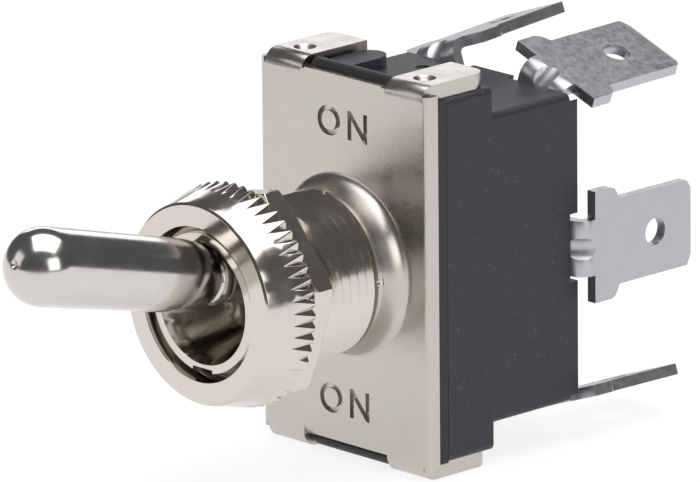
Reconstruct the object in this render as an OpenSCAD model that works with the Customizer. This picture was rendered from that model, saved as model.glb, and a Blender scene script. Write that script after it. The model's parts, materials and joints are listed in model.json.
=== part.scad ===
// Panel toggle switch, double pole, bat lever, six quick-connect tabs.
// Millimetres. X to the right, Y to the back, Z up. The origin is on the bushing's axis,
// where it crosses the front face of the mounting plate. The lever points towards -Y.

/* [Mounting plate] */
// Width of the plate
plate_w = 17.2; // [14:0.1:20]
// Height of the plate's flat front
plate_h = 27.8; // [27:0.1:30]
// Thickness of the steel sheet
plate_t = 1.1; // [0.8:0.05:1.4]
// Radius along the plate's two long front edges
plate_edge_r = 0.45; // [0.1:0.05:0.6]
// Radius of the plate's lower front edge, between the ears
lower_edge_r = 1; // [0.3:0.05:1.05]
// How much shorter the plate is between its lower ears
lower_drop = 0.25; // [0:0.05:0.5]
// Width of each folded ear
ear_w = 3.7; // [2.5:0.1:4]
// Gap between the two ears of one end
ear_gap = 8.6; // [6:0.1:9]
// How far back the ears reach
ear_reach = 6.6; // [5:0.1:8]
// Inner radius of the ears' fold
ear_fold_r = 0.1; // [0.05:0.05:0.4]
// Radius of the ears' outer rear corner
ear_corner_r = 1.2; // [0.4:0.1:1.6]
// Width of the relief slits beside the ears
relief_w = 0.35; // [0.2:0.05:0.4]
// Cut at the plate's lower left corner
corner_cut = 1.05; // [0.4:0.05:1.4]
// Radius of the plate's lower right corner
corner_r = 0.45; // [0.2:0.05:0.6]
// Diameter of the staking dimples in the ears
dimple_d = 1.6; // [0.8:0.1:2]
// Depth of the staking dimples
dimple_depth = 0.35; // [0.1:0.05:0.6]
// Distance of the dimples from the plate's front
dimple_y = 2.2; // [1.8:0.1:4]

/* [Raised collar] */
// Diameter of the collar where it leaves the plate
collar_d = 13.68; // [13:0.1:15]
// Height of the collar in front of the plate
collar_h = 2.3; // [1.5:0.1:3]
// Diameter of each stake mark on the collar
stake_d = 0.6; // [0.3:0.1:0.8]
// Depth of the stake marks
stake_depth = 0.5; // [0.2:0.1:1]

/* [Bushing] */
// Outside diameter of the 15/32-32 thread
thread_d = 11.9; // [11.5:0.05:12.5]
// Length of the bushing in front of the plate
bushing_len = 13.9; // [12:0.1:16]
// Diameter of the spigot clenched in the plate
spigot_d = 10.2; // [9.6:0.1:10.8]
// Depth of the clench behind the plate's mid-depth
clench = 0.5; // [0.2:0.1:0.7]
// Diameter of the bore at the mouth
mouth_d = 8.96; // [8.4:0.02:9.2]
// Diameter of the flat ring round the mouth
mouth_ring_d = 10.2; // [9.6:0.1:11]
// Diameter of the bore at its narrowest, in front of the ball
throat_d = 5.2; // [4.8:0.1:5.6]
// Diameter of the bore at the back
bore_rear_d = 8.4; // [7.8:0.1:8.8]
// Width of the keyway along the thread
keyway_w = 2; // [1:0.1:2.4]
// Depth of the keyway below the crest of the thread
keyway_depth = 1.2; // [0.6:0.05:1.25]

/* [Lever] */
// Distance of the lever's pivot in front of the plate
pivot_depth = 6.4; // [6:0.1:7]
// Tilt of the lever in each of its two end positions
lever_tilt = 14.35; // [10:0.05:15]
// Length from the pivot to the end of the tip
lever_len = 26.12; // [20:0.1:32]
// Diameter of the ball-shaped tip
tip_d = 5.7; // [5:0.1:7]
// Diameter of the lever where the taper ends
grip_d = 5.28; // [4.6:0.1:6]
// Distance of the taper's end from the pivot
grip_end = 10.5; // [10:0.1:12]
// Diameter of the neck
neck_d = 3.3; // [2.8:0.1:3.4]
// Diameter of the bead at the head of the neck
bead_d = 3.9; // [3.6:0.1:4.1]
// Diameter of the ball in the bushing
ball_d = 6; // [5.6:0.1:6.4]
// Diameter of the tail behind the ball
tail_d = 2.8; // [2.2:0.1:3]
// Radial clearance of the ball in the bushing
ball_clear = 0.1; // [0.05:0.01:0.1]
// Diameter of the pivot pin
pin_d = 1.5; // [1.2:0.1:1.8]
// Length of the pivot pin
pin_len = 8.1; // [7.6:0.1:8.6]
// Radial clearance of the pin in the ball
pin_clear = 0.05; // [0.02:0.01:0.1]

/* [Nuts] */
// Radial clearance of the nuts on the thread
nut_clear = 0.05; // [0.02:0.01:0.1]
// Width across the flats of the hex nut
hex_af = 14.29; // [13.8:0.01:15]
// Thickness of the hex nut
hex_t = 1.95; // [1.5:0.05:2.4]
// Distance from the plate to the hex nut
hex_pos = 8.5; // [5:0.1:9]
// Angle at which the hex nut has stopped
hex_turn = 11.6; // [0:0.1:60]
// Gap between the two nuts
nut_gap = 0.06; // [0.04:0.01:0.4]
// Largest diameter of the knurled nut
knurl_d = 16.4; // [16:0.1:18]
// Diameter of the knurled nut's front face
knurl_face_d = 14.36; // [13.6:0.1:14.6]
// Thickness of the knurled nut
knurl_t = 3.86; // [3.6:0.02:4.2]
// Number of teeth of the knurl
knurl_teeth = 56; // [40:1:70]
// Depth of the knurl's grooves
knurl_depth = 0.42; // [0.2:0.02:0.5]
// Diameter of the lip that hides the end of the thread
lip_d = 11.34; // [11:0.02:11.6]

/* [Case] */
// Width of the case
case_w = 16.96; // [16:0.1:19]
// Height of the case at its shoulders, under the ears
shoulder_h = 26.84; // [26:0.1:28]
// How far back the shoulders reach
shoulder_reach = 6.55; // [5:0.05:8]
// Height of the case behind the shoulders
case_h = 22.94; // [22:0.1:24]
// Distance from the plate's front to the floor that the terminals lie on
case_reach = 14.32; // [14:0.1:16]
// Height of the barriers between the terminals
barrier_h = 0.76; // [0.4:0.02:1.2]
// Wall thickness
case_wall = 1.4; // [1:0.1:1.8]
// Thickness of the floor that carries the terminals
floor_t = 1.72; // [1.5:0.02:1.8]
// Radius of the case's long edges
case_edge_r = 0.5; // [0.2:0.1:0.8]
// Thickness of the insulating cover
cover_t = 1; // [0.8:0.05:1.2]
// Height of the cover's bead above the case, between the ears
bead_h = 1; // [0.7:0.01:1.2]
// Radius of that bead
bead_r = 0.65; // [0.4:0.01:0.7]
// Height of the stop block beside the upper left ear
block_h = 0.6; // [0.3:0.1:0.8]
// Width of that block
block_w = 2.5; // [1.5:0.1:3]
// Height of the middle terminal's channel
channel_h = 5.04; // [4.6:0.02:5.4]
// Width of the fanned terminals' channels
fan_channel_w = 6.2; // [5.6:0.1:6.4]

/* [Terminals] */
// Distance of each pole from the middle
pole_x = 3.7; // [3.5:0.05:4]
// Distance of the outer rivets from the middle one
contact_z = 6.9; // [6.6:0.05:7.2]
// Thickness of the terminal strip
strip_t = 0.8; // [0.6:0.05:0.9]
// Width of the strip on the case
strip_w = 4.15; // [3.5:0.05:4.6]
// Width of the quick-connect tab
tab_w = 6.35; // [5.6:0.01:6.6]
// Width of the terminal's shoulders
tab_shoulder_w = 8.3; // [7.5:0.1:9]
// Length of the shoulders
tab_shoulder_len = 2.1; // [1.4:0.1:2.6]
// Distance of the tab's end behind the case's floor
tab_reach = 11.33; // [9:0.01:13]
// Distance of the hole from the tab's end
hole_back = 3.87; // [3:0.01:5]
// Diameter of the hole in the tab
hole_d = 2; // [1.4:0.1:2.4]
// Distance from the rivet to the tab's outer face
tab_out = 5.95; // [5.7:0.05:6.6]
// Inner radius of the terminal's bend
bend_r = 0.4; // [0.3:0.05:0.6]
// Radius of the stiffening dent pressed across the bend
dent_r = 0.88; // [0.6:0.02:1]
// Depth of that dent
dent_depth = 0.52; // [0.3:0.02:0.6]
// Angle of the fanned terminals from the vertical
fan_angle = 20; // [10:1:25]
// Splay of the upper left tab
splay_top_left = 4; // [0:0.5:6]
// Splay of the upper right tab
splay_top_right = 1.5; // [0:0.5:6]
// Splay of the two lower tabs
splay_bottom = 1; // [0:0.5:6]
// Diameter of the rivets' shanks
rivet_d = 2; // [1.6:0.1:2.4]
// Diameter of the rivets' outer heads
rivet_head_d = 3.2; // [2.6:0.1:3.6]

/* [Contacts] */
// Distance of the rockers' fulcrum behind the plate's front
rocker_y = 10.5; // [10.4:0.05:10.7]
// Swing of the rockers each way
rocker_swing = 6; // [5.5:0.1:6.5]
// Width of the rockers
rocker_w = 3.1; // [2.6:0.1:3.3]
// Radius of the fulcrum
fulcrum_r = 0.8; // [0.6:0.05:0.9]
// Running clearance of the rocker on its fulcrum
rocker_clear = 0.06; // [0.03:0.01:0.1]
// Diameter of the moving contacts
button_d = 2.2; // [1.8:0.1:2.4]
// Height of the moving contacts
button_h = 0.85; // [0.6:0.05:1]
// Diameter of the fixed contacts
fixed_contact_d = 2.7; // [2.4:0.1:3]
// Height of the fixed contacts over the inner floor
fixed_contact_h = 0.5; // [0.3:0.05:0.6]
// Width of the yoke that carries the two plungers
yoke_w = 10.4; // [10:0.1:11]
// Height of the yoke
yoke_h = 3.4; // [3.2:0.1:3.5]
// Distance from the pivot to the yoke's front
yoke_front = 9.6; // [9.5:0.05:9.8]
// Length of the yoke along the tail
yoke_len = 3.8; // [3.4:0.1:3.9]
// Distance from the pivot to the plungers' tips
plunger_end = 15; // [14.9:0.02:15.1]
// Diameter of the plungers
plunger_d = 2.3; // [2:0.1:2.3]
// Radial clearance of the plungers in the yoke
plunger_clear = 0.05; // [0.02:0.01:0.1]
// Diameter of the spring wire
wire_d = 0.28; // [0.2:0.02:0.3]
// Number of turns of each plunger spring
spring_turns = 6; // [4:0.5:7]

/* [Hidden] */
$fn = 64;
// Overlap that lets a cutting shape pass cleanly through a face
eps = 0.02;

// Ears and cover
shear_w = 0.12;
shear_deep = 0.4;
relief_deep = 0.12;
ear_lift = 0.03;
ear_in_z = shoulder_h / 2 + ear_lift;
ear_out_z = ear_in_z + plate_t;
ear_x0 = ear_gap / 2;
ear_x1 = ear_gap / 2 + ear_w;
cover_y = plate_t;
case_y = plate_t + cover_t;
// The ears fold round the case's shoulders, so the flat front never reaches past them
front_h = min(plate_h, 2 * ear_out_z - 0.2);
fold_out_r = ear_fold_r + plate_t;
fold_start_z = ear_out_z - fold_out_r;
upper_edge_z = front_h / 2;
lower_edge_z = upper_edge_z - lower_drop;
bead_back = 0.2;

// Bushing
bushing_y = -bushing_len;
ball_seat_r = ball_d / 2 + ball_clear;
seat_y = -pivot_depth - sqrt(ball_seat_r * ball_seat_r - throat_d * throat_d / 4);
collar_top_d = thread_d + 0.04;
pin_slot_clear = 0.03;
pin_end_clear = 0.1;
front_chamfer = (thread_d - mouth_ring_d) / 2;

// Nuts
hex_front_y = -hex_pos - hex_t;
knurl_rear_y = hex_front_y - nut_gap;
knurl_front_y = knurl_rear_y - knurl_t;
// The lip lies just in front of the bushing's end
lip_gap = 0.02;
lip_y = min(bushing_y - lip_gap, knurl_rear_y - 1);

// Case
rear_y = case_reach + barrier_h;
floor_y = case_reach - floor_t;
cavity_w = case_w - 2 * case_wall;
cavity_h = case_h - 2 * case_wall;
middle_drop = 0.25;
partition_w = 1.2;
partition_y = rocker_y - 2.3;

// Contacts
contact_y = floor_y - fixed_contact_h;
contact_gap = 0.06;
button_dome_r = 4;
button_dome_h = 0.14;
button_z = contact_z + 0.1;
button_end = (contact_y - contact_gap - rocker_y - button_z * sin(rocker_swing))
    / cos(rocker_swing);
strap_rear = button_end - button_h;
strap_t = 0.8;
cradle_t = 0.4;
cheek_t = 0.5;
spring_gap = 0.05;
yoke_wall = 0.7;
spring_seat = yoke_front + yoke_wall;
yoke_rear = yoke_front + yoke_len;
plunger_r = plunger_d / 2;
plunger_back = plunger_end - yoke_len;
spring_r = (plunger_r - 0.3) - spring_gap - wire_d / 2;
spring_end = plunger_end - plunger_r - 0.3;
slot_half_h = (pivot_depth + case_y) * tan(lever_tilt) + tail_d / 2 / cos(lever_tilt) + 0.7;
slot_half_w = tail_d / 2 + 0.5;

// Terminals: angle of each in the plane of the case's floor, from +X towards +Z
angle_right_top = 90 - fan_angle;
angle_right_bottom = fan_angle - 90;
angle_left_top = 90 + fan_angle;
angle_left_bottom = -90 - fan_angle;
bend_out_r = bend_r + strip_t;
bend_u = tab_out - bend_out_r;
bend_y = case_reach + bend_out_r;

// A profile given as [radius, y] turned round the bushing's axis
module turned() {
    rotate([-90, 0, 0]) rotate_extrude($fn = 96) children();
}

// A profile given in X and Z, standing from y0 to y0 + len
module along_y(y0, len) {
    translate([0, y0 + len, 0]) rotate([90, 0, 0]) linear_extrude(len) children();
}

// A profile given in Y and Z, standing from x0 to x0 + len
module along_x(x0, len) {
    translate([x0, 0, 0]) rotate([90, 0, 90]) linear_extrude(len) children();
}

// A round bar along Y
module bar_y(r, y0, y1) {
    translate([0, y0, 0]) rotate([-90, 0, 0]) cylinder(r = r, h = y1 - y0);
}

// A round bar along X
module bar_x(r, x0, x1) {
    translate([x0, 0, 0]) rotate([0, 90, 0]) cylinder(r = r, h = x1 - x0);
}

// A rectangle with round corners, about the origin
module round_rect(w, h, r) {
    square([w - 2 * r, h], center = true);
    square([w, h - 2 * r], center = true);
    for (x = [-1, 1], z = [-1, 1])
        translate([x * (w / 2 - r), z * (h / 2 - r)]) circle(r);
}

// A copy of the children and its mirror image in the plane Z = 0
module both_ends() {
    children();
    mirror([0, 0, 1]) children();
}

// The lever's own axis lies along Y through the pivot; this leans it to an end position
module leaned() {
    translate([0, -pivot_depth, 0]) rotate([-lever_tilt, 0, 0]) children();
}

// ---- mounting plate ----

// One ear: the sheet folds back over the case's shoulder
module ear(x0) {
    corner_x = x0 > 0 ? x0 + ear_w : x0;
    side = x0 > 0 ? 1 : -1;
    difference() {
        along_x(x0, ear_w) {
            translate([0, fold_start_z - 1]) square([plate_t, 1]);
            intersection() {
                translate([fold_out_r, fold_start_z]) difference() {
                    circle(fold_out_r);
                    circle(ear_fold_r);
                }
                translate([0, fold_start_z]) square([fold_out_r, fold_out_r]);
            }
            translate([fold_out_r, ear_in_z]) square([ear_reach - fold_out_r, plate_t]);
        }
        // outer rear corner
        translate([corner_x - side * ear_corner_r, ear_reach - ear_corner_r, 0]) difference() {
            translate([side > 0 ? 0 : -ear_corner_r - eps, 0, ear_in_z - eps])
                cube([ear_corner_r + eps, ear_corner_r + eps, plate_t + 2 * eps]);
            translate([0, 0, ear_in_z - 1]) cylinder(r = ear_corner_r, h = plate_t + 2);
        }
        // staking dimple
        translate([x0 + ear_w / 2, dimple_y, ear_out_z - dimple_depth])
            cylinder(d1 = dimple_d * 0.7, d2 = dimple_d * 1.05, h = dimple_depth + eps);
    }
}

// Outline of the plate's flat front. It stops short at the ears, where the folds take over
module front_outline() {
    half_w = plate_w / 2;
    difference() {
        translate([-half_w, -lower_edge_z]) square([plate_w, upper_edge_z + lower_edge_z]);
        for (x = [-ear_x1, ear_x0], z = [-plate_h, fold_start_z - eps])
            translate([x, z]) square([ear_w, plate_h - fold_start_z + eps]);
    }
    // corners beside the lower ears: one clipped at 45 degrees, one round
    difference() {
        for (x = [-half_w, ear_x1]) translate([x, -upper_edge_z]) square([half_w - ear_x1, 3]);
        translate([-half_w, -upper_edge_z]) rotate(45) square(corner_cut * sqrt(2), center = true);
        translate([half_w - corner_r, corner_r - upper_edge_z]) difference() {
            translate([0, -corner_r - eps]) square(corner_r + eps);
            circle(corner_r);
        }
    }
}

module frame_plate() {
    stake_out = 0.1;
    color("silver") difference() {
        union() {
            intersection() {
                along_y(0, plate_t) front_outline();
                // front edges rounded along both sides
                translate([0, 0, -upper_edge_z - 1]) linear_extrude(2 * upper_edge_z + 2)
                    front_round();
            }
            turned() collar_profile();
            both_ends() {
                ear(ear_x0);
                ear(-ear_x1);
            }
        }
        // the lower edge curls back between the ears
        along_x(-ear_x0 + eps, 2 * ear_x0 - 2 * eps)
            translate([lower_edge_r, lower_edge_r - lower_edge_z]) difference() {
            translate([-lower_edge_r - 1, -lower_edge_r - 1]) square(lower_edge_r + 1);
            circle(lower_edge_r);
        }
        // hole for the bushing, opened out behind for the clench
        bar_y(spigot_d / 2, -collar_h - 1, plate_t + 1);
        turned() polygon([[0, plate_t - clench], [spigot_d / 2, plate_t - clench],
            [spigot_d / 2 + clench, plate_t], [spigot_d / 2 + clench, plate_t + 1],
            [0, plate_t + 1]]);
        // relief slits on the ears' inner sides, sheared cuts on their outer sides
        for (end = [-1, 1], s = [-1, 1]) let (edge_z = end > 0 ? upper_edge_z : lower_edge_z) {
            translate([s * (ear_x0 - relief_w / 2), 0, end * (edge_z - relief_deep + 1)])
                cube([relief_w, 3 * plate_t, 2], center = true);
            translate([s * (ear_x1 + shear_w / 2), 0, end * (upper_edge_z - shear_deep + 1)])
                cube([shear_w, 3 * plate_t, 2], center = true);
        }
        // stake marks round the collar, at the thread's edge
        for (a = [3, 85, 183, 265]) rotate([0, -a, 0]) translate([collar_top_d / 2 + stake_out, 0, 0])
            bar_y(stake_d / 2, -collar_h - eps, stake_depth - collar_h);
    }
}

// Section of the plate across X, with its two front edges rounded
module front_round() {
    translate([-plate_w / 2, plate_edge_r]) square([plate_w, plate_t - plate_edge_r + eps]);
    translate([-plate_w / 2 + plate_edge_r, 0]) square([plate_w - 2 * plate_edge_r, plate_t]);
    for (s = [-1, 1]) translate([s * (plate_w / 2 - plate_edge_r), plate_edge_r])
        circle(plate_edge_r);
}

// The collar drawn up out of the plate: steep at the thread, sweeping out at its foot
module collar_profile() {
    rise = (collar_d - collar_top_d) / 2;
    steps = 8;
    polygon(concat(
        [[spigot_d / 2 - eps, plate_t - clench - eps], [spigot_d / 2 - eps, -collar_h],
            [collar_top_d / 2, -collar_h]],
        [for (i = [1 : steps]) let (t = 90 * i / steps)
            [collar_top_d / 2 + rise * (1 - cos(t)), -collar_h * (1 - sin(t))]],
        [[collar_d / 2, plate_t - clench - eps]]));
}

// ---- bushing, pin and lever ----

module threaded_bushing() {
    steps = 6;
    throat_a = acos(-(seat_y + pivot_depth) / ball_seat_r);
    color("gainsboro") difference() {
        turned() polygon(concat(
            [[mouth_d / 2, bushing_y], [mouth_ring_d / 2, bushing_y],
                [thread_d / 2, bushing_y + front_chamfer],
                [thread_d / 2, -collar_h], [spigot_d / 2, -collar_h],
                [spigot_d / 2, plate_t - clench], [spigot_d / 2 + clench, plate_t],
                [bore_rear_d / 2, plate_t], [ball_seat_r, -pivot_depth + ball_seat_r]],
            // spherical seat that stops the ball
            [for (i = [0 : steps]) let (a = 90 + (throat_a - 90) * i / steps)
                [ball_seat_r * sin(a), -pivot_depth - ball_seat_r * cos(a)]]));
        // keyway
        translate([-keyway_w / 2, bushing_y - 1, -thread_d])
            cube([keyway_w, bushing_len - collar_h + 1, thread_d / 2 + keyway_depth]);
        // the two slots that take the ends of the pivot pin, open to the back
        translate([0, -pivot_depth, 0]) {
            bar_x(pin_d / 2 + pin_slot_clear, -pin_len / 2 - pin_end_clear,
                pin_len / 2 + pin_end_clear);
            translate([-pin_len / 2 - pin_end_clear, 0, -pin_d / 2 - pin_slot_clear])
                cube([pin_len + 2 * pin_end_clear, pivot_depth + plate_t + 1,
                    pin_d + 2 * pin_slot_clear]);
        }
    }
}

module pivot_pin() {
    color("darkgray") translate([0, -pivot_depth, 0])
        bar_x(pin_d / 2, -pin_len / 2, pin_len / 2);
}

// Half section of the lever, as [radius, distance in front of the pivot]
function lever_profile() =
    let (tip_r = tip_d / 2, grip_r = grip_d / 2, neck_r = neck_d / 2, bead_r = bead_d / 2,
        ball_r = ball_d / 2, tail_r = tail_d / 2,
        drop = grip_r - neck_r, run = 2.9,
        bead_l = grip_end - run - 1.0,
        neck_a = asin(neck_r / ball_r), tail_a = asin(tail_r / ball_r))
    concat(
        [[0, lever_len]],
        [for (a = [9 : 9 : 81]) [tip_r * sin(a), lever_len - tip_r + tip_r * cos(a)]],
        [[tip_r, lever_len - tip_r]],
        // the taper ends in a long round shoulder
        [for (a = [0 : 10 : 80])
            [neck_r + 0.12 + (drop - 0.12) * cos(a), grip_end - run * sin(a)]],
        [[neck_r + 0.1, grip_end - run]],
        // bead at the head of the neck
        [for (a = [-80 : 20 : 80]) [neck_r + (bead_r - neck_r) * cos(a), bead_l - 0.75 * sin(a)]],
        [[neck_r, bead_l - 0.8]],
        [for (i = [0 : 12]) let (a = neck_a + (180 - tail_a - neck_a) * i / 12)
            [ball_r * sin(a), ball_r * cos(a)]]);

module bat_lever() {
    tail_r = tail_d / 2;
    head_r = tail_r + 0.5;
    head_t = 0.5;
    color("silver") leaned() difference() {
        mirror([0, 1, 0]) turned() polygon(concat(lever_profile(),
            [[tail_r, -yoke_rear], [head_r, -yoke_rear], [head_r, -yoke_rear - head_t],
                [0, -yoke_rear - head_t]]));
        bar_x(pin_d / 2 + pin_clear, -ball_d, ball_d);
        // centre mark left by turning
        translate([0, -lever_len - eps, 0]) rotate([-90, 0, 0])
            cylinder(r1 = 0.35, r2 = 0.05, h = 0.3);
    }
}

// ---- nuts ----

module hex_nut() {
    corner_r = hex_af / sqrt(3);
    face_r = hex_af / 2 + 0.5;
    color("gainsboro") intersection() {
        difference() {
            along_y(hex_front_y, hex_t) rotate(hex_turn) circle(corner_r, $fn = 6);
            bar_y(thread_d / 2 + nut_clear, hex_front_y - 1, -hex_pos + 1);
        }
        // both faces are turned, which bevels the corners
        turned() polygon([[0, hex_front_y], [face_r, hex_front_y],
            [corner_r + 0.1, hex_front_y + 0.32], [corner_r + 0.1, -hex_pos - 0.32],
            [face_r, -hex_pos], [0, -hex_pos]]);
    }
}

module knurled_nut() {
    knurl_r = knurl_d / 2;
    face_r = knurl_face_d / 2;
    face_chamfer = 0.17;
    thread_r = thread_d / 2 + nut_clear;
    color("gainsboro") intersection() {
        turned() polygon([[thread_r, knurl_rear_y], [thread_r, lip_y], [lip_d / 2, lip_y],
            [lip_d / 2, knurl_front_y], [face_r, knurl_front_y],
            [face_r + face_chamfer, knurl_front_y + face_chamfer],
            [knurl_r, knurl_rear_y - 0.1], [knurl_r - 0.1, knurl_rear_y]]);
        // straight V-grooves round the rim run out on the cone
        along_y(knurl_front_y - 1, knurl_t + 2) polygon([for (i = [0 : 2 * knurl_teeth - 1])
            let (a = 180 * i / knurl_teeth, r = i % 2 == 0 ? knurl_r + 0.05 : knurl_r - knurl_depth)
            [r * cos(a), r * sin(a)]]);
    }
}

// ---- cover and case ----

// The cover's bead lies over the plate's edge between two ears, whose height is edge_z
module cover_bead(edge_z) {
    half_w = ear_x0 - relief_w;
    bead_z = shoulder_h / 2 + bead_h - bead_r;
    along_x(-half_w, 2 * half_w) {
        translate([cover_y, shoulder_h / 2 - 1]) square([cover_t, bead_z - shoulder_h / 2 + 1]);
        difference() {
            translate([cover_y + bead_back, bead_z]) circle(bead_r);
            translate([cover_y - 2, edge_z - 2]) square(2);
        }
    }
}

module insulator_cover() {
    fold_clear = 0.2;
    color("#2b2b30") difference() {
        union() {
            difference() {
                along_y(cover_y, cover_t) square([case_w, shoulder_h], center = true);
                // its front edges clear the inside of the ears' folds
                both_ends() translate([0, cover_y, shoulder_h / 2]) rotate([45, 0, 0])
                    cube([case_w + 1, fold_clear * sqrt(2), fold_clear * sqrt(2)], center = true);
            }
            cover_bead(upper_edge_z);
            mirror([0, 0, 1]) cover_bead(lower_edge_z);
        }
        along_y(cover_y - 1, cover_t + 2)
            round_rect(2 * slot_half_w, 2 * slot_half_h, slot_half_w - 0.1);
    }
}

// Room for one terminal's strip: round at the rivet and open to the outside
module strip_channel(w) {
    circle(w / 2);
    translate([0, -w / 2]) square([case_h, w]);
}

module case_channels() {
    for (s = [0, 1]) mirror([s, 0]) {
        translate([partition_w / 2 + 0.4, -channel_h / 2]) square([case_w, channel_h]);
        for (a = [angle_right_top, angle_right_bottom])
            translate([pole_x, sign(a) * contact_z]) rotate(a) strip_channel(fan_channel_w);
    }
}

// Places the children at each of the six rivets; the rivet's axis is then the Y axis
module at_rivets() {
    for (x = [-pole_x, pole_x], z = [-contact_z, 0, contact_z])
        translate([x, 0, z]) children();
}

module case_body() {
    block_x = -ear_x0 + relief_w;
    block_end_r = 1.2;
    cavity_r = 0.8;
    // mark of the mould's ejector pin, on top
    ejector_at = [-4.3, 12.1];
    ejector_d = 1.1;
    ejector_deep = 0.12;
    color("#35363c") difference() {
        union() {
            // shoulders under the ears, and the lower part between them
            along_y(case_y, shoulder_reach - case_y) {
                round_rect(case_w, shoulder_h - 2 * middle_drop, case_edge_r);
                for (x = [-1, 1], z = [-1, 1]) translate([x * (case_w / 2 + ear_x0) / 2,
                    z * (shoulder_h / 2 - 1.5)])
                    round_rect(case_w / 2 - ear_x0, 3, case_edge_r);
            }
            along_y(case_y, rear_y - case_y) round_rect(case_w, case_h, case_edge_r);
            // stop block beside the upper left ear
            translate([block_x, case_y, shoulder_h / 2 - middle_drop - 1])
                cube([block_w, shoulder_reach - case_y - block_end_r, 1 + middle_drop + block_h]);
            translate([block_x + block_end_r, shoulder_reach - block_end_r,
                shoulder_h / 2 - middle_drop - 1])
                cylinder(r = block_end_r, h = 1 + middle_drop + block_h);
        }
        // contact chamber, open towards the cover
        along_y(case_y - 1, floor_y - case_y + 1) round_rect(cavity_w, cavity_h, cavity_r);
        along_y(case_reach, barrier_h + 1) case_channels();
        at_rivets() bar_y(rivet_d / 2, floor_y - 1, rear_y + 1);
        translate([ejector_at[0], ejector_at[1], case_h / 2 - ejector_deep])
            cylinder(d = ejector_d, h = 1);
    }
    // partition between the two poles
    color("#35363c") translate([-partition_w / 2, partition_y, -cavity_h / 2 - 0.1])
        cube([partition_w, floor_y - partition_y + 0.1, cavity_h + 0.2]);
}

// ---- contact mechanism ----

module actuator_yoke() {
    color("saddlebrown") leaned() difference() {
        along_y(yoke_front, yoke_len) round_rect(yoke_w, yoke_h, 0.9);
        bar_y(tail_d / 2, yoke_front - 1, yoke_rear + 1);
        for (x = [-pole_x, pole_x]) translate([x, 0, 0])
            bar_y(plunger_r + plunger_clear, spring_seat, yoke_rear + 1);
    }
}

// A cup with a round nose; the spring sits inside it
module plunger(x) {
    nose_y = plunger_end - plunger_r;
    bore_r = plunger_r - 0.3;
    steps = 8;
    color("goldenrod") leaned() translate([x, 0, 0]) turned() polygon(concat(
        [[0, spring_end], [bore_r, spring_end], [bore_r, plunger_back], [plunger_r, plunger_back]],
        [for (i = [0 : steps]) let (a = 90 * i / steps)
            [i == steps ? 0 : plunger_r * cos(a), nose_y + plunger_r * sin(a)]]));
}

// Points of a coil spring along Y, ring by ring
function coil_points(r, wire_r, y0, y1, turns, per_turn, sides) =
    let (n = turns * per_turn)
    [for (i = [0 : n], j = [0 : sides - 1])
        let (a = 360 * i / per_turn, b = 360 * j / sides,
            y = y0 + wire_r + (y1 - y0 - 2 * wire_r) * i / n,
            q = r + wire_r * cos(b))
        [q * cos(a), y + wire_r * sin(b), q * sin(a)]];

function coil_faces(n, sides) = concat(
    [[for (j = [0 : sides - 1]) j]],
    [for (i = [0 : n - 1], j = [0 : sides - 1]) let (k = (j + 1) % sides)
        [i * sides + j, (i + 1) * sides + j, (i + 1) * sides + k, i * sides + k]],
    [[for (j = [sides - 1 : -1 : 0]) n * sides + j]]);

module plunger_spring(x) {
    per_turn = 18;
    sides = 8;
    color("lightsteelblue") leaned() translate([x, 0, 0])
        polyhedron(coil_points(spring_r, wire_d / 2, spring_seat, spring_end, spring_turns,
            per_turn, sides), coil_faces(spring_turns * per_turn, sides));
}

// Centre of the plunger's nose seen from the rocker, for a lever angle a
function nose_at(a) =
    let (d = plunger_end - plunger_r, t = rocker_swing * a / lever_tilt,
        y = d * cos(a) - pivot_depth - rocker_y, z = -d * sin(a))
    [y * cos(t) + z * sin(t), z * cos(t) - y * sin(t)];

// Point of the rocker's track under the nose: the nose's path moved out by its radius
function track_at(a) =
    let (p = nose_at(a), q = nose_at(a + 0.5), s = nose_at(a - 0.5),
        dy = q[0] - s[0], dz = q[1] - s[1], len = sqrt(dy * dy + dz * dz),
        reach = plunger_r + rocker_clear)
    [p[0] - reach * dz / len, p[1] + reach * dy / len];

// Side view of a rocker about its fulcrum, as [y, z]
module rocker_profile() {
    over = lever_tilt + 2;
    steps = 12;
    hub_z = fulcrum_r + 0.7;
    wing = track_at(over);
    pad_in = button_z - button_d / 2 - 0.1;
    pad_out = button_z + button_d / 2;
    pad_front = strap_rear - strap_t;
    half = [for (i = [0 : steps]) track_at(over * i / steps)];
    difference() {
        polygon(concat(
            [for (i = [steps : -1 : 1]) [half[i][0], -half[i][1]]],
            half,
            [[pad_front, -pad_in], [pad_front, -pad_out], [strap_rear, -pad_out],
                [strap_rear, -pad_in + 0.15], [wing[0] + strap_t, wing[1] + 0.35],
                [-0.35, -hub_z], [0, -hub_z + 0.2],
                [0, hub_z - 0.2], [-0.35, hub_z], [wing[0] + strap_t, -wing[1] - 0.35],
                [strap_rear, pad_in - 0.15], [strap_rear, pad_out], [pad_front, pad_out],
                [pad_front, pad_in]]));
        circle(fulcrum_r + rocker_clear);
    }
}

// Leans a pole's rocker to the position it has at rest
module at_rocker(x) {
    translate([x, rocker_y, 0]) rotate([rocker_swing, 0, 0]) children();
}

module rocker(x) {
    color("peru") at_rocker(x) difference() {
        along_x(-rocker_w / 2, rocker_w) rocker_profile();
        for (z = [-button_z, button_z]) translate([0, 0, z])
            bar_y(button_d / 4, strap_rear - strap_t - 1, strap_rear + 1);
    }
}

// Moving contact: a domed button whose shank is riveted in the rocker
module moving_contact(x, end) {
    button_r = button_d / 2;
    shank_r = button_d / 4;
    steps = 5;
    color("white") at_rocker(x) translate([0, 0, end * button_z]) turned() polygon(concat(
        [[0, strap_rear - strap_t], [shank_r, strap_rear - strap_t], [shank_r, strap_rear],
            [button_r, strap_rear]],
        [for (i = [steps : -1 : 0]) let (r = button_r * i / steps)
            [r, button_end - button_dome_r + sqrt(button_dome_r * button_dome_r - r * r)]]));
}

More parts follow.
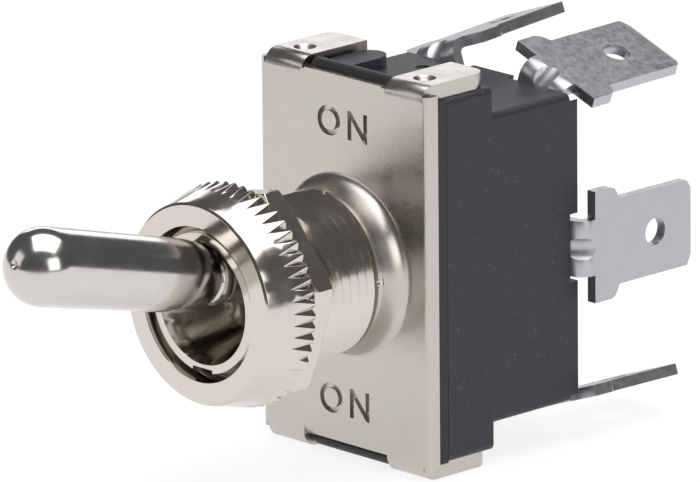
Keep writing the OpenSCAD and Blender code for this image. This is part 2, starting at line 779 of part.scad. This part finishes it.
// Bracket under the middle rivet, with two cheeks that the rocker tips on
module cradle(x) {
    base = rocker_w + 0.4;
    foot_y = floor_y - cradle_t;
    color("darkkhaki") translate([x, 0, 0]) difference() {
        union() {
            along_y(foot_y, cradle_t) square([base, base], center = true);
            for (s = [-rocker_w / 2, rocker_w / 2 - cheek_t]) along_x(s, cheek_t) {
                translate([rocker_y, 0]) circle(fulcrum_r);
                polygon([[rocker_y, fulcrum_r * 0.8], [foot_y + 0.1, base / 2],
                    [foot_y + 0.1, -base / 2], [rocker_y, -fulcrum_r * 0.8]]);
            }
        }
        bar_y(rivet_d / 2, foot_y - 1, floor_y + 1);
    }
}

// ---- terminals and rivets ----

// Outline of the tab in its own plane, as [distance from the bend, half width]
function tab_side(len) =
    let (s0 = 0.18, s1 = s0 + tab_shoulder_len, hs = tab_shoulder_w / 2, ht = tab_w / 2,
        nip = 0.67, soft = 0.45)
    [[-eps, strip_w / 2], [s0, strip_w / 2], [s0, hs], [s1 - soft, hs],
        [s1 - soft * 0.3, hs - soft * 0.3], [s1 + 0.12, hs - soft], [s1 + 0.35, ht],
        [len - nip, ht], [len, ht - nip]];

// Places a round bar of radius r along the chord of the bend, on the side where the dent is
module across_bend(r) {
    out = (bend_out_r - dent_depth + dent_r) / sqrt(2);
    half_len = 4;
    translate([bend_u + out, bend_y - out, 0]) rotate([0, 0, -45]) bar_y(r, -half_len, half_len);
}

// One terminal about its rivet; it leaves the case along +X and then turns back along +Y
module terminal_blank(splay) {
    bevel = 0.57;
    web_t = 0.6;
    room = 3;
    // the tab's end lies in one plane whatever the splay
    len = (case_reach + tab_reach - bend_y) / cos(splay);
    side = tab_side(len);
    count = len(side);
    difference() {
        union() {
            along_y(case_reach, strip_t) {
                circle(strip_w / 2);
                translate([0, -strip_w / 2]) square([bend_u, strip_w]);
            }
            translate([bend_u, bend_y, 0]) rotate([0, 0, -90])
                rotate_extrude(angle = 90 - splay) translate([bend_r, -strip_w / 2])
                square([strip_t, strip_w]);
            translate([bend_u, bend_y, 0]) rotate([0, 0, -splay]) intersection() {
                along_x(bend_r, strip_t) polygon(concat(side,
                    [for (i = [count - 1 : -1 : 0]) [side[i][0], -side[i][1]]]));
                // both faces are bevelled at the tab's end
                translate([0, 0, -tab_shoulder_w]) linear_extrude(2 * tab_shoulder_w)
                    polygon([[bend_r, -1], [bend_out_r, -1], [bend_out_r, len - bevel],
                        [bend_out_r - strip_t * 0.3, len], [bend_r + strip_t * 0.3, len],
                        [bend_r, len - bevel]]);
            }
            // the dent stands out on the inside of the bend as a web
            intersection() {
                across_bend(dent_r + web_t);
                translate([bend_u + bend_r + 0.2 - room, bend_y - bend_r - 0.2, -room])
                    cube([room, room, 2 * room]);
            }
        }
        across_bend(dent_r);
        bar_y(rivet_d / 2, case_reach - 1, case_reach + strip_t + 1);
        translate([bend_u, bend_y, 0]) rotate([0, 0, -splay]) translate([0, len - hole_back, 0])
            bar_x(hole_d / 2, bend_r - 1, bend_out_r + 1);
    }
}

module terminal(x, z, a, splay) {
    color("lightgray") translate([x, 0, z]) rotate([0, -a, 0]) terminal_blank(splay);
}

// Rivet through a terminal and the floor; its inner end has radius r and thickness t
module rivet(x, z, r, t, base_y) {
    head_y = case_reach + strip_t;
    head_h = 0.6;
    shank_r = rivet_d / 2;
    head_r = rivet_head_d / 2;
    color("whitesmoke") translate([x, 0, z]) turned() polygon([[0, base_y - t], [r, base_y - t],
        [r, base_y], [shank_r, base_y], [shank_r, head_y], [head_r, head_y],
        [head_r, head_y + head_h * 0.3], [head_r * 0.85, head_y + head_h * 0.75],
        [head_r * 0.55, head_y + head_h], [0, head_y + head_h]]);
}

module contact_rivet(x, z) {
    rivet(x, z, fixed_contact_d / 2, fixed_contact_h, floor_y);
}

module middle_rivet(x) {
    rivet(x, 0, rocker_w / 2 - cheek_t - 0.02, 0.35, floor_y - cradle_t);
}

frame_plate();
threaded_bushing();
hex_nut();
knurled_nut();
pivot_pin();
bat_lever();
insulator_cover();
case_body();  // case
actuator_yoke();
plunger(-pole_x);  // plunger_left
plunger(pole_x);  // plunger_right
plunger_spring(-pole_x);  // spring_left
plunger_spring(pole_x);  // spring_right
rocker(-pole_x);  // rocker_left
rocker(pole_x);  // rocker_right
moving_contact(-pole_x, 1);  // contact_left_top
moving_contact(-pole_x, -1);  // contact_left_bottom
moving_contact(pole_x, 1);  // contact_right_top
moving_contact(pole_x, -1);  // contact_right_bottom
cradle(-pole_x);  // cradle_left
cradle(pole_x);  // cradle_right
terminal(-pole_x, contact_z, angle_left_top, splay_top_left);  // terminal_left_top
terminal(-pole_x, 0, 180, 0);  // terminal_left_middle
terminal(-pole_x, -contact_z, angle_left_bottom, splay_bottom);  // terminal_left_bottom
terminal(pole_x, contact_z, angle_right_top, splay_top_right);  // terminal_right_top
terminal(pole_x, 0, 0, 0);  // terminal_right_middle
terminal(pole_x, -contact_z, angle_right_bottom, splay_bottom);  // terminal_right_bottom
contact_rivet(-pole_x, contact_z);  // rivet_left_top
middle_rivet(-pole_x);  // rivet_left_middle
contact_rivet(-pole_x, -contact_z);  // rivet_left_bottom
contact_rivet(pole_x, contact_z);  // rivet_right_top
middle_rivet(pole_x);  // rivet_right_middle
contact_rivet(pole_x, -contact_z);  // rivet_right_bottom
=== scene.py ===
"""Dresses the panel toggle switch: nickel plated metal, black phenolic, tinned tabs."""

import json
import math

import bpy
from mathutils import Matrix, Vector

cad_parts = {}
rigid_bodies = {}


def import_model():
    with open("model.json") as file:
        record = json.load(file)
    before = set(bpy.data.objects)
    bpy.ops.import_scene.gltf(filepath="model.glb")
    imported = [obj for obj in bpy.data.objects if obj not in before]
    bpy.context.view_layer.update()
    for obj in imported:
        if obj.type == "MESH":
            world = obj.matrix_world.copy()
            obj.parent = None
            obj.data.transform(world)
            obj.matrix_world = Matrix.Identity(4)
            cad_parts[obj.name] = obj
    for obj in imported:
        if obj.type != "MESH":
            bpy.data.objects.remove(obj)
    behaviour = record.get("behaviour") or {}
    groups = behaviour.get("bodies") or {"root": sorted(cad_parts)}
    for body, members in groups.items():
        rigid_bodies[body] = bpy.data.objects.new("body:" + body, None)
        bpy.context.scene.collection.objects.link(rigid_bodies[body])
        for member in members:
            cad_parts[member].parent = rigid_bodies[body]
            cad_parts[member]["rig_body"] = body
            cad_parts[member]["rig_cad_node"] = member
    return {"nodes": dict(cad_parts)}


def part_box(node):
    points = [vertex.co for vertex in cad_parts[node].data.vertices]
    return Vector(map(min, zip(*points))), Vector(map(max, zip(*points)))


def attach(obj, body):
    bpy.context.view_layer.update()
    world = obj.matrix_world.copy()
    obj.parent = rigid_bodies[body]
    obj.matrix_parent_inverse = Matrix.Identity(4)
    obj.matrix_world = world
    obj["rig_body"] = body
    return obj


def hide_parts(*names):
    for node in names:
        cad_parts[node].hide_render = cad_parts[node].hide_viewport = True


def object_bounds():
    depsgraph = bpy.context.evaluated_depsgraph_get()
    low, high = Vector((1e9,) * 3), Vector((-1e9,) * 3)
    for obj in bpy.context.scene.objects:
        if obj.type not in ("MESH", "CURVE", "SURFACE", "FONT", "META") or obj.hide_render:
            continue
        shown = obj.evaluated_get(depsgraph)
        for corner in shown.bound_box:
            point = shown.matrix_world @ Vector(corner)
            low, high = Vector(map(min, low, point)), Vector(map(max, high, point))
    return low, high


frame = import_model()
cad_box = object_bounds()

MM = 0.001


# ---------------------------------------------------------------- modelling helpers

def deselect_all():
    bpy.ops.object.select_all(action="DESELECT")


def make_active(piece):
    deselect_all()
    piece.select_set(True)
    bpy.context.view_layer.objects.active = piece


def apply_all_modifiers(piece):
    make_active(piece)
    for modifier in list(piece.modifiers):
        bpy.ops.object.modifier_apply(modifier=modifier.name)


def settle(piece):
    """Puts the piece's place into its mesh, with its object at the origin."""
    make_active(piece)
    bpy.ops.object.transform_apply(location=True, rotation=True, scale=True)


def finish_piece(piece, body, *nodes, slot=None):
    settle(piece)
    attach(piece, body)
    if nodes:
        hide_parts(*nodes)
    return piece


def merged_copy(node, name):
    """A copy of a CAD node whose loose triangles are joined into one skin."""
    piece = frame["nodes"][node].copy()
    piece.data = piece.data.copy()
    piece.name = piece.data.name = name
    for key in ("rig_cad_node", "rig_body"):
        if key in piece:
            del piece[key]
    piece.parent = None
    piece.data.materials.clear()
    bpy.context.scene.collection.objects.link(piece)
    make_active(piece)
    if piece.data.has_custom_normals:
        bpy.ops.mesh.customdata_custom_splitnormals_clear()
    bpy.ops.object.mode_set(mode="EDIT")
    bpy.ops.mesh.select_all(action="SELECT")
    bpy.ops.mesh.remove_doubles(threshold=0.001 * MM)
    bpy.ops.mesh.dissolve_limited(angle_limit=math.radians(0.5))
    bpy.ops.object.mode_set(mode="OBJECT")
    return piece


def break_edges(piece, width, segments=2, angle=28):
    """Takes the sharpness off the edges, as tumbling and plating do."""
    bevel = piece.modifiers.new("edge break", "BEVEL")
    bevel.width = width
    bevel.segments = segments
    bevel.limit_method = "ANGLE"
    bevel.angle_limit = math.radians(angle)
    apply_all_modifiers(piece)
    smooth(piece, 40)


def smooth(piece, angle=35):
    make_active(piece)
    bpy.ops.object.shade_smooth_by_angle(angle=math.radians(angle))
    # flat faces keep their own normals, so the edge breaks don't shade them
    weight = piece.modifiers.new("flat faces lead", "WEIGHTED_NORMAL")
    weight.keep_sharp = True
    apply_all_modifiers(piece)


def softened(node, body, width, slot, segments=2, angle=28):
    piece = merged_copy(node, node + "_finished")
    break_edges(piece, width, segments, angle)
    return finish_piece(piece, body, node, slot=slot)


def cut(piece, cutter):
    """Cuts one piece out of another and throws the cutter away."""
    tool = piece.modifiers.new("cut", "BOOLEAN")
    tool.operation = "DIFFERENCE"
    tool.solver = "EXACT"
    tool.object = cutter
    apply_all_modifiers(piece)
    bpy.data.objects.remove(cutter)


# ---------------------------------------------------------------- materials

def linear(code):
    """sRGB hex to the linear colour that a shader takes."""
    parts = [int(code[i:i + 2], 16) / 255 for i in (1, 3, 5)]
    return [c / 12.92 if c <= 0.04045 else ((c + 0.055) / 1.055) ** 2.4 for c in parts] + [1.0]


def add(tree, kind, links=None, **settings):
    """Adds a node; links feed its inputs from sockets, settings set inputs or properties."""
    node = tree.nodes.new(kind)
    for key, value in settings.items():
        if hasattr(node, key):
            setattr(node, key, value)
        else:
            node.inputs[key.replace("_", " ")].default_value = value
    for key, socket in (links or {}).items():
        tree.links.new(socket, node.inputs[key])
    return node


def new_material(name, colour, metallic, roughness):
    material = bpy.data.materials.new(name)
    material.use_nodes = True
    tree = material.node_tree
    shader = tree.nodes["Principled BSDF"]
    shader.inputs["Base Color"].default_value = linear(colour)
    shader.inputs["Metallic"].default_value = metallic
    shader.inputs["Roughness"].default_value = roughness
    place = add(tree, "ShaderNodeTexCoord").outputs["Object"]
    return material, tree, shader, place


def per_metre(size_mm):
    """Noise scale at which one blotch is about this many millimetres across."""
    return 1 / (size_mm * MM)


def radius_from_axis(tree, place):
    """Distance of the surface from the bushing's axis, for rings left by turning."""
    flat = add(tree, "ShaderNodeVectorMath", {0: place}, operation="MULTIPLY")
    flat.inputs[1].default_value = (1, 0, 1)
    return add(tree, "ShaderNodeVectorMath", {0: flat.outputs[0]},
               operation="LENGTH").outputs["Value"]


def satin_nickel_on_steel():
    """Pressed steel, nickel plated: a soft sheen with faint roll grain and dull patches."""
    material, tree, shader, place = new_material("satin nickel on pressed steel",
                                                 "#C9C2BC", 1.0, 0.3)
    patches = add(tree, "ShaderNodeTexNoise", {"Vector": place}, Scale=per_metre(2.6),
                  Detail=4.0, Roughness=0.6)
    gloss = add(tree, "ShaderNodeMapRange", {"Value": patches.outputs["Fac"]},
                From_Min=0.3, From_Max=0.7, To_Min=0.22, To_Max=0.36)
    tree.links.new(gloss.outputs[0], shader.inputs["Roughness"])
    tint = add(tree, "ShaderNodeValToRGB", {"Fac": patches.outputs["Fac"]})
    tint.color_ramp.elements[0].color = linear("#BDB5AE")
    tint.color_ramp.elements[1].color = linear("#CFC9C4")
    tree.links.new(tint.outputs["Color"], shader.inputs["Base Color"])
    # orange peel of the plating, 0.25 mm across
    peel = add(tree, "ShaderNodeTexNoise", {"Vector": place}, Scale=per_metre(0.25),
               Detail=3.0)
    bump = add(tree, "ShaderNodeBump", {"Height": peel.outputs["Fac"]}, Strength=0.22,
               Distance=0.02 * MM)
    tree.links.new(bump.outputs["Normal"], shader.inputs["Normal"])
    return material


def bright_nickel_on_brass():
    """Turned brass, bright nickel plated: near mirror, with fine rings from the lathe."""
    material, tree, shader, place = new_material("bright nickel on turned brass",
                                                 "#D3CCC4", 1.0, 0.13)
    radius = radius_from_axis(tree, place)
    # tool marks 0.12 mm apart
    rings = add(tree, "ShaderNodeTexNoise", {"W": radius}, noise_dimensions="1D",
                Scale=per_metre(0.12), Detail=2.0)
    smudge = add(tree, "ShaderNodeTexNoise", {"Vector": place}, Scale=per_metre(2.0),
                 Detail=4.0)
    gloss = add(tree, "ShaderNodeMapRange", {"Value": smudge.outputs["Fac"]},
                From_Min=0.35, From_Max=0.7, To_Min=0.1, To_Max=0.2)
    tree.links.new(gloss.outputs[0], shader.inputs["Roughness"])
    bump = add(tree, "ShaderNodeBump", {"Height": rings.outputs["Fac"]}, Strength=0.12,
               Distance=0.01 * MM)
    tree.links.new(bump.outputs["Normal"], shader.inputs["Normal"])
    return material


def polished_nickel_lever():
    """Turned and polished handle, bright nickel plated: soft highlights along its length."""
    material, tree, shader, place = new_material("polished nickel on lever",
                                                 "#CFCBC7", 1.0, 0.15)
    haze = add(tree, "ShaderNodeTexNoise", {"Vector": place}, Scale=per_metre(1.6),
               Detail=5.0)
    gloss = add(tree, "ShaderNodeMapRange", {"Value": haze.outputs["Fac"]},
                From_Min=0.3, From_Max=0.7, To_Min=0.12, To_Max=0.24)
    tree.links.new(gloss.outputs[0], shader.inputs["Roughness"])
    grain = add(tree, "ShaderNodeTexNoise", {"Vector": place}, Scale=per_metre(0.2),
                Detail=2.0)
    bump = add(tree, "ShaderNodeBump", {"Height": grain.outputs["Fac"]}, Strength=0.1,
               Distance=0.01 * MM)
    tree.links.new(bump.outputs["Normal"], shader.inputs["Normal"])
    return material


def black_phenolic():
    """Compression moulded phenolic: dark grey-black, dull, with filler specks."""
    material, tree, shader, place = new_material("black moulded phenolic", "#35363C", 0.0, 0.5)
    shader.inputs["Specular IOR Level"].default_value = 0.45
    # wood-flour filler, drawn 0.35 mm coarse so that it shows
    filler = add(tree, "ShaderNodeTexNoise", {"Vector": place}, Scale=per_metre(0.35),
                 Detail=5.0, Roughness=0.65)
    tint = add(tree, "ShaderNodeValToRGB", {"Fac": filler.outputs["Fac"]})
    tint.color_ramp.elements[0].position = 0.3
    tint.color_ramp.elements[0].color = linear("#303137")
    tint.color_ramp.elements[1].position = 0.7
    tint.color_ramp.elements[1].color = linear("#3B3C43")
    specks = add(tree, "ShaderNodeTexVoronoi", {"Vector": place}, Scale=per_metre(0.9))
    dots = add(tree, "ShaderNodeMath", {0: specks.outputs["Distance"]}, operation="LESS_THAN")
    dots.inputs[1].default_value = 0.07
    mix = add(tree, "ShaderNodeMix", {"Factor": dots.outputs[0]}, data_type="RGBA")
    tree.links.new(tint.outputs["Color"], mix.inputs["A"])
    mix.inputs["B"].default_value = linear("#6A6B70")
    tree.links.new(mix.outputs["Result"], shader.inputs["Base Color"])
    bump = add(tree, "ShaderNodeBump", {"Height": filler.outputs["Fac"]}, Strength=0.25,
               Distance=0.02 * MM)
    tree.links.new(bump.outputs["Normal"], shader.inputs["Normal"])
    return material


def tinned_strip():
    """Rolled brass strip, tin plated: pale grey, matt, with streaks along the roll."""
    material, tree, shader, place = new_material("matt tin on rolled brass",
                                                 "#C9CACC", 1.0, 0.38)
    long_way = add(tree, "ShaderNodeMapping", {"Vector": place})
    long_way.inputs["Scale"].default_value = (1, 0.12, 1)
    streaks = add(tree, "ShaderNodeTexNoise", {"Vector": long_way.outputs["Vector"]},
                  Scale=per_metre(0.22), Detail=4.0)
    crystals = add(tree, "ShaderNodeTexNoise", {"Vector": place}, Scale=per_metre(0.5),
                   Detail=5.0, Roughness=0.7)
    gloss = add(tree, "ShaderNodeMapRange", {"Value": crystals.outputs["Fac"]},
                From_Min=0.3, From_Max=0.7, To_Min=0.3, To_Max=0.46)
    tree.links.new(gloss.outputs[0], shader.inputs["Roughness"])
    tint = add(tree, "ShaderNodeValToRGB", {"Fac": crystals.outputs["Fac"]})
    tint.color_ramp.elements[0].color = linear("#AEB0B4")
    tint.color_ramp.elements[1].color = linear("#C9CACD")
    tree.links.new(tint.outputs["Color"], shader.inputs["Base Color"])
    bump = add(tree, "ShaderNodeBump", {"Height": streaks.outputs["Fac"]}, Strength=0.3,
               Distance=0.01 * MM)
    tree.links.new(bump.outputs["Normal"], shader.inputs["Normal"])
    return material


def plain_metal(name, light, dark, roughness, grain_mm):
    """An inner metal piece: its own colour, slightly uneven, with a fine grain."""
    material, tree, shader, place = new_material(name, light, 1.0, roughness)
    cloud = add(tree, "ShaderNodeTexNoise", {"Vector": place}, Scale=per_metre(grain_mm),
                Detail=4.0)
    tint = add(tree, "ShaderNodeValToRGB", {"Fac": cloud.outputs["Fac"]})
    tint.color_ramp.elements[0].color = linear(dark)
    tint.color_ramp.elements[1].color = linear(light)
    tree.links.new(tint.outputs["Color"], shader.inputs["Base Color"])
    bump = add(tree, "ShaderNodeBump", {"Height": cloud.outputs["Fac"]}, Strength=0.15,
               Distance=0.01 * MM)
    tree.links.new(bump.outputs["Normal"], shader.inputs["Normal"])
    return material


def plain_board(name, light, dark, roughness, grain_mm):
    """Pressed fibre or moulded insulation: matt, with a little colour in its grain."""
    material, tree, shader, place = new_material(name, light, 0.0, roughness)
    cloud = add(tree, "ShaderNodeTexNoise", {"Vector": place}, Scale=per_metre(grain_mm),
                Detail=5.0)
    tint = add(tree, "ShaderNodeValToRGB", {"Fac": cloud.outputs["Fac"]})
    tint.color_ramp.elements[0].color = linear(dark)
    tint.color_ramp.elements[1].color = linear(light)
    tree.links.new(tint.outputs["Color"], shader.inputs["Base Color"])
    bump = add(tree, "ShaderNodeBump", {"Height": cloud.outputs["Fac"]}, Strength=0.2,
               Distance=0.02 * MM)
    tree.links.new(bump.outputs["Normal"], shader.inputs["Normal"])
    return material


def give(piece, material):
    piece.data.materials.clear()
    piece.data.materials.append(material)


SATIN = satin_nickel_on_steel()
BRIGHT = bright_nickel_on_brass()
LEVER = polished_nickel_lever()
PHENOLIC = black_phenolic()
TIN = tinned_strip()
# Vulcanised fibre, dyed black
FIBRE = plain_board("black vulcanised fibre", "#2C2C31", "#212125", 0.5, 0.3)
BROWN = plain_board("brown moulded phenolic", "#5A3A22", "#452B18", 0.5, 0.3)
STEEL = plain_metal("ground steel", "#A9AAAD", "#96979A", 0.3, 0.2)
SPRING = plain_metal("drawn spring wire", "#B0B2B6", "#9A9CA1", 0.28, 0.15)
BRASS = plain_metal("turned brass", "#D8B36A", "#C39C52", 0.22, 0.3)
COPPER = plain_metal("phosphor bronze strip", "#C98C62", "#B4764D", 0.3, 0.4)
SILVER = plain_metal("silver contact", "#E8E6E0", "#D5D2CB", 0.25, 0.2)

for name, node in frame["nodes"].items():
    if name.startswith(("rocker", "cradle")):
        give(node, COPPER)
    elif name.startswith("contact"):
        give(node, SILVER)
    elif name.startswith("plunger"):
        give(node, BRASS)
    elif name.startswith("spring"):
        give(node, SPRING)
    elif name.startswith(("terminal", "rivet")):
        give(node, TIN)
give(frame["nodes"]["actuator_yoke"], BROWN)
give(frame["nodes"]["pivot_pin"], STEEL)


# ---------------------------------------------------------------- mounting plate

def stamped_word(word, height, z):
    """A word standing through the plate's front face, ready to be cut into it."""
    deselect_all()
    bpy.ops.object.text_add(location=(0, 0.12 * MM, z), rotation=(math.radians(90), 0, 0))
    letters = bpy.context.object
    letters.data.body = word
    letters.data.align_x = "CENTER"
    letters.data.align_y = "CENTER"
    letters.data.size = height / 0.7
    letters.data.space_character = 1.35
    letters.data.extrude = 0.25 * MM
    letters.data.offset = 0.06 * MM
    bpy.ops.object.convert(target="MESH")
    settle(letters)
    return letters


def make_plate():
    plate = merged_copy("frame_plate", "mounting_plate")
    word_z = 10.3 * MM
    for z in (word_z, -word_z):
        cut(plate, stamped_word("ON", 2.1 * MM, z))
    break_edges(plate, 0.06 * MM, 2)
    give(plate, SATIN)
    return finish_piece(plate, "housing", "frame_plate", slot="nickel_steel")


# ---------------------------------------------------------------- threaded bushing

def make_bushing():
    """The turned body, cut down to the thread's root, with the thread wound on it."""
    low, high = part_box("threaded_bushing")
    crest = high.x
    pitch = 25.4 / 32 * MM
    depth_share = 0.54      # the thread's depth as a share of its pitch
    root = crest - depth_share * pitch
    collar_lap = 0.6 * MM   # how far the bare stretch runs into the collar
    body = merged_copy("threaded_bushing", "bushing_body")
    collar_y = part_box("frame_plate")[0].y
    # a ring that takes the outside down to the root of the thread
    deselect_all()
    front = low.y + (crest - root) + 0.1 * MM
    bpy.ops.mesh.primitive_cylinder_add(vertices=128, radius=crest + 1 * MM, depth=1)
    ring = bpy.context.object
    ring.scale.z = collar_y + collar_lap - front
    ring.rotation_euler.x = math.radians(90)
    ring.location.y = (collar_y + collar_lap + front) / 2
    settle(ring)
    deselect_all()
    bpy.ops.mesh.primitive_cylinder_add(vertices=128, radius=root, depth=0.1,
                                        rotation=(math.radians(90), 0, 0))
    core = bpy.context.object
    cut(ring, core)
    cut(body, ring)
    # the thread's four-cornered section, wound by the Screw modifier
    deselect_all()
    bpy.ops.mesh.primitive_circle_add(vertices=4, radius=1,
                                      location=(root, front + pitch / 2, 0))
    thread = bpy.context.object
    thread.name = thread.data.name = "bushing_thread"
    thread.scale = (crest - 0.02 * MM - root, 0.49 * pitch, 1)
    settle(thread)
    turns = int((collar_y + 0.5 * MM - front) / pitch)
    screw = thread.modifiers.new("wind", "SCREW")
    screw.axis = "Y"
    screw.angle = 2 * math.pi
    screw.screw_offset = pitch
    screw.iterations = turns
    screw.steps = screw.render_steps = 72
    screw.use_merge_vertices = False
    apply_all_modifiers(thread)
    make_active(thread)
    bpy.ops.object.mode_set(mode="EDIT")
    bpy.ops.mesh.select_all(action="SELECT")
    bpy.ops.mesh.remove_doubles(threshold=0.0005 * MM)
    bpy.ops.mesh.select_all(action="DESELECT")
    bpy.ops.mesh.select_non_manifold()
    bpy.ops.mesh.edge_face_add()
    bpy.ops.mesh.select_all(action="SELECT")
    bpy.ops.mesh.normals_make_consistent(inside=False)
    bpy.ops.object.mode_set(mode="OBJECT")
    smooth(thread, 30)
    break_edges(body, 0.05 * MM, 2)
    for piece in (body, thread):
        give(piece, BRIGHT)
    finish_piece(body, "housing", "threaded_bushing", slot="nickel_brass")
    finish_piece(thread, "housing", slot="nickel_brass")


# ---------------------------------------------------------------- the other pieces

make_plate()
make_bushing()
give(softened("hex_nut", "hex_nut", 0.07 * MM, "nickel_brass"), BRIGHT)
give(softened("knurled_nut", "knurled_nut", 0.035 * MM, "nickel_brass"), BRIGHT)
give(softened("bat_lever", "lever", 0.02 * MM, "nickel_lever", angle=35), LEVER)
give(softened("case", "housing", 0.12 * MM, "black_phenolic", segments=3), PHENOLIC)
give(softened("insulator_cover", "housing", 0.08 * MM, "black_fibre"), FIBRE)
for side in ("left", "right"):
    for level in ("top", "middle", "bottom"):
        give(softened(f"terminal_{side}_{level}", "housing", 0.06 * MM, "tinned_brass"), TIN)


# ---------------------------------------------------------------- floor, light, camera

def floor_and_world():
    low = cad_box[0]
    deselect_all()
    bpy.ops.mesh.primitive_plane_add(size=6, location=(0, 0, low[2] - 0.05 * MM))
    floor = bpy.context.object
    floor.name = "studio_floor"
    settle(floor)
    material = bpy.data.materials.new("white studio paper")
    material.use_nodes = True
    tree = material.node_tree
    shader = tree.nodes["Principled BSDF"]
    shader.inputs["Base Color"].default_value = (0.86, 0.86, 0.86, 1)
    shader.inputs["Roughness"].default_value = 0.9
    shader.inputs["Specular IOR Level"].default_value = 0.1
    rays = add(tree, "ShaderNodeLightPath")
    glossy = add(tree, "ShaderNodeMath", {0: rays.outputs["Is Camera Ray"],
                                          1: rays.outputs["Is Glossy Ray"]},
                 operation="MAXIMUM")
    seen = add(tree, "ShaderNodeMath", {0: glossy.outputs[0],
                                        1: rays.outputs["Is Transmission Ray"]},
               operation="MAXIMUM")
    share = add(tree, "ShaderNodeMath", {0: seen.outputs[0]}, operation="MULTIPLY")
    share.inputs[1].default_value = 0.7
    white = add(tree, "ShaderNodeEmission", Strength=1.2)
    mixed = add(tree, "ShaderNodeMixShader", {0: share.outputs[0], 1: shader.outputs[0],
                                              2: white.outputs[0]})
    tree.links.new(mixed.outputs[0], tree.nodes["Material Output"].inputs["Surface"])
    give(floor, material)

    world = bpy.data.worlds.new("studio")
    bpy.context.scene.world = world
    world.use_nodes = True
    world.node_tree.nodes["Background"].inputs["Color"].default_value = (0.5, 0.5, 0.5, 1)
    world.node_tree.nodes["Background"].inputs["Strength"].default_value = 0.22


def softbox(name, place, size, power, aim=(0, 0, 0)):
    lamp = bpy.data.lights.new(name, "AREA")
    lamp.shape = "RECTANGLE"
    lamp.size, lamp.size_y = size
    lamp.energy = power
    holder = bpy.data.objects.new(name, lamp)
    bpy.context.scene.collection.objects.link(holder)
    holder.location = place
    holder.rotation_euler = (Vector(aim) - Vector(place)).to_track_quat("-Z", "Y").to_euler()
    return holder


def make_camera():
    """Looks from the front right and a little above, through a long lens."""
    azimuth, elevation, roll = (math.radians(a) for a in (46.271, 15.832, -0.484))
    back = Vector((math.sin(azimuth) * math.cos(elevation),
                   -math.cos(azimuth) * math.cos(elevation), math.sin(elevation)))
    level = Vector((math.cos(azimuth), math.sin(azimuth), 0))
    upright = back.cross(level)
    right = level * math.cos(roll) + upright * math.sin(roll)
    up = upright * math.cos(roll) - level * math.sin(roll)
    distance, px_per_mm, width, height = 887.454, 14.0188, 700, 482
    origin_px, centre_px = (343.933, 264.850), (365.613, 237.826)
    data = bpy.data.cameras.new("camera")
    camera = bpy.data.objects.new("camera", data)
    bpy.context.scene.collection.objects.link(camera)
    place = (back * distance + right * ((centre_px[0] - origin_px[0]) / px_per_mm)
             - up * ((centre_px[1] - origin_px[1]) / px_per_mm)) * MM
    turn = Matrix((right, up, back)).transposed().to_4x4()
    camera.matrix_world = Matrix.Translation(place) @ turn
    data.sensor_width = 36
    data.lens = distance * px_per_mm * data.sensor_width / width
    data.shift_x = (width / 2 - centre_px[0]) / width
    data.shift_y = (centre_px[1] - height / 2) / width
    data.clip_start, data.clip_end = 0.05, 20
    bpy.context.scene.camera = camera


floor_and_world()
softbox("overhead", (0.05, 0.05, 0.7), (0.8, 0.8), 5)
softbox("low back left", (-0.65, 0.62, 0.26), (0.6, 0.3), 0.9)
softbox("right fill", (0.8, -0.15, 0.3), (0.5, 0.5), 1.6)
softbox("left fill", (-0.55, -0.75, 0.35), (0.5, 0.5), 0.8)
make_camera()
bpy.context.scene.view_settings.view_transform = "Standard"
